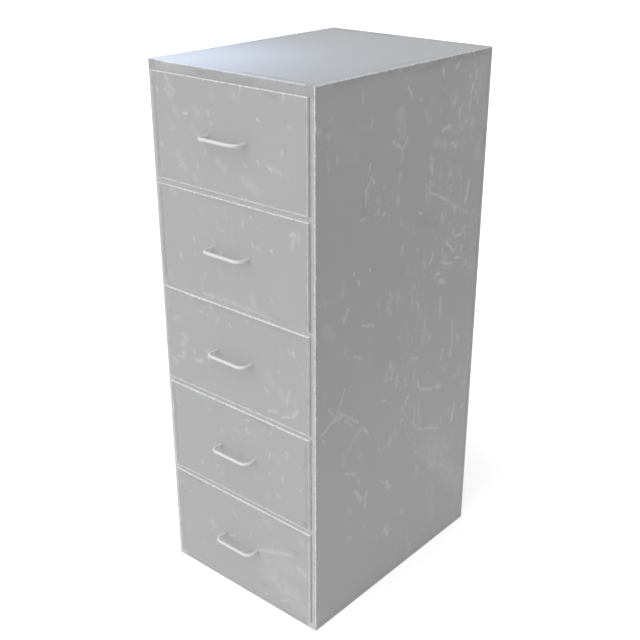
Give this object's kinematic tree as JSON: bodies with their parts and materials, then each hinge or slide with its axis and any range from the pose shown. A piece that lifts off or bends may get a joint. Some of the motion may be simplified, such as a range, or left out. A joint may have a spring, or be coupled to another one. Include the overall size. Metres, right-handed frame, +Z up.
{
  "type": "filing cabinet",
  "caption": "Tall steel filing cabinet with a column of drawers on roller runners, each with a bent-rod pull.",
  "frame": {"origin": "centre of the carcass's base, on the floor", "axes": "+Z up, -Y out of the front where the drawers open, +X to the right seen from the front"},
  "size_m": [0.48, 0.6702, 1.3],
  "materials": {
    "outer_enamel": "worn light grey enamel, semi-matt",
    "inner_enamel": "thin grey enamel, matt",
    "pull_metal": "satin",
    "zinc_plate": "zinc plated, dull",
    "nylon": "natural nylon",
    "buffer_rubber": "matt"
  },
  "bodies": {
    "cabinet": {"left_side_panel": "outer_enamel", "right_side_panel": "outer_enamel", "top_panel": "outer_enamel", "back_panel": "inner_enamel", "base_pan": "inner_enamel", "bottom_rail": "outer_enamel", "front_rail_1": "outer_enamel", "front_rail_2": "outer_enamel", "front_rail_3": "outer_enamel", "front_rail_4": "outer_enamel", "front_uprights": "inner_enamel", "rear_uprights": "inner_enamel", "runner_buffers": "buffer_rubber", "cabinet_runners_1": "zinc_plate", "cabinet_runners_2": "zinc_plate", "cabinet_runners_3": "zinc_plate", "cabinet_runners_4": "zinc_plate", "cabinet_runners_5": "zinc_plate"},
    "drawer_1": {"drawer_front_1": "outer_enamel", "drawer_body_1": "inner_enamel", "drawer_back_1": "inner_enamel", "drawer_runners_1": "zinc_plate", "handle_1": "pull_metal", "handle_screws_1": "zinc_plate"},
    "cabinet_wheels_1": {"cabinet_wheels_1": "nylon"},
    "drawer_wheels_1": {"drawer_wheels_1": "nylon"},
    "drawer_2": {"drawer_front_2": "outer_enamel", "drawer_body_2": "inner_enamel", "drawer_back_2": "inner_enamel", "drawer_runners_2": "zinc_plate", "handle_2": "pull_metal", "handle_screws_2": "zinc_plate"},
    "cabinet_wheels_2": {"cabinet_wheels_2": "nylon"},
    "drawer_wheels_2": {"drawer_wheels_2": "nylon"},
    "drawer_3": {"drawer_front_3": "outer_enamel", "drawer_body_3": "inner_enamel", "drawer_back_3": "inner_enamel", "drawer_runners_3": "zinc_plate", "handle_3": "pull_metal", "handle_screws_3": "zinc_plate"},
    "cabinet_wheels_3": {"cabinet_wheels_3": "nylon"},
    "drawer_wheels_3": {"drawer_wheels_3": "nylon"},
    "drawer_4": {"drawer_front_4": "outer_enamel", "drawer_body_4": "inner_enamel", "drawer_back_4": "inner_enamel", "drawer_runners_4": "zinc_plate", "handle_4": "pull_metal", "handle_screws_4": "zinc_plate"},
    "cabinet_wheels_4": {"cabinet_wheels_4": "nylon"},
    "drawer_wheels_4": {"drawer_wheels_4": "nylon"},
    "drawer_5": {"drawer_front_5": "outer_enamel", "drawer_body_5": "inner_enamel", "drawer_back_5": "inner_enamel", "drawer_runners_5": "zinc_plate", "handle_5": "pull_metal", "handle_screws_5": "zinc_plate"},
    "cabinet_wheels_5": {"cabinet_wheels_5": "nylon"},
    "drawer_wheels_5": {"drawer_wheels_5": "nylon"}
  },
  "joints": [
    {"name": "drawer_1_slide", "type": "slide", "parent": "cabinet", "child": "drawer_1", "axis": [0, -1, 0], "range_m": [0, 0.45]},
    {"name": "cabinet_wheels_1_spin", "type": "hinge", "parent": "cabinet", "child": "cabinet_wheels_1", "pos_m": [0, -0.276, 1.10695], "axis": [1, 0, 0], "range_deg": [0, 2456]},
    {"name": "drawer_wheels_1_spin", "type": "hinge", "parent": "drawer_1", "child": "drawer_wheels_1", "pos_m": [0, 0.255, 1.10805], "axis": [1, 0, 0], "range_deg": [0, 2223]},
    {"name": "drawer_2_slide", "type": "slide", "parent": "cabinet", "child": "drawer_2", "axis": [0, -1, 0], "range_m": [0, 0.45]},
    {"name": "cabinet_wheels_2_spin", "type": "hinge", "parent": "cabinet", "child": "cabinet_wheels_2", "pos_m": [0, -0.276, 0.85575], "axis": [1, 0, 0], "range_deg": [0, 2456]},
    {"name": "drawer_wheels_2_spin", "type": "hinge", "parent": "drawer_2", "child": "drawer_wheels_2", "pos_m": [0, 0.255, 0.85685], "axis": [1, 0, 0], "range_deg": [0, 2223]},
    {"name": "drawer_3_slide", "type": "slide", "parent": "cabinet", "child": "drawer_3", "axis": [0, -1, 0], "range_m": [0, 0.45]},
    {"name": "cabinet_wheels_3_spin", "type": "hinge", "parent": "cabinet", "child": "cabinet_wheels_3", "pos_m": [0, -0.276, 0.60455], "axis": [1, 0, 0], "range_deg": [0, 2456]},
    {"name": "drawer_wheels_3_spin", "type": "hinge", "parent": "drawer_3", "child": "drawer_wheels_3", "pos_m": [0, 0.255, 0.60565], "axis": [1, 0, 0], "range_deg": [0, 2223]},
    {"name": "drawer_4_slide", "type": "slide", "parent": "cabinet", "child": "drawer_4", "axis": [0, -1, 0], "range_m": [0, 0.45]},
    {"name": "cabinet_wheels_4_spin", "type": "hinge", "parent": "cabinet", "child": "cabinet_wheels_4", "pos_m": [0, -0.276, 0.35335], "axis": [1, 0, 0], "range_deg": [0, 2456]},
    {"name": "drawer_wheels_4_spin", "type": "hinge", "parent": "drawer_4", "child": "drawer_wheels_4", "pos_m": [0, 0.255, 0.35445], "axis": [1, 0, 0], "range_deg": [0, 2223]},
    {"name": "drawer_5_slide", "type": "slide", "parent": "cabinet", "child": "drawer_5", "axis": [0, -1, 0], "range_m": [0, 0.45]},
    {"name": "cabinet_wheels_5_spin", "type": "hinge", "parent": "cabinet", "child": "cabinet_wheels_5", "pos_m": [0, -0.276, 0.10215], "axis": [1, 0, 0], "range_deg": [0, 2456]},
    {"name": "drawer_wheels_5_spin", "type": "hinge", "parent": "drawer_5", "child": "drawer_wheels_5", "pos_m": [0, 0.255, 0.10325], "axis": [1, 0, 0], "range_deg": [0, 2223]}
  ],
  "couplings": [
    {"joint": "cabinet_wheels_1_spin", "follows": "drawer_1_slide", "rad_per_m": 95.238},
    {"joint": "drawer_wheels_1_spin", "follows": "drawer_1_slide", "rad_per_m": 86.207},
    {"joint": "cabinet_wheels_2_spin", "follows": "drawer_2_slide", "rad_per_m": 95.238},
    {"joint": "drawer_wheels_2_spin", "follows": "drawer_2_slide", "rad_per_m": 86.207},
    {"joint": "cabinet_wheels_3_spin", "follows": "drawer_3_slide", "rad_per_m": 95.238},
    {"joint": "drawer_wheels_3_spin", "follows": "drawer_3_slide", "rad_per_m": 86.207},
    {"joint": "cabinet_wheels_4_spin", "follows": "drawer_4_slide", "rad_per_m": 95.238},
    {"joint": "drawer_wheels_4_spin", "follows": "drawer_4_slide", "rad_per_m": 86.207},
    {"joint": "cabinet_wheels_5_spin", "follows": "drawer_5_slide", "rad_per_m": 95.238},
    {"joint": "drawer_wheels_5_spin", "follows": "drawer_5_slide", "rad_per_m": 86.207}
  ]
}
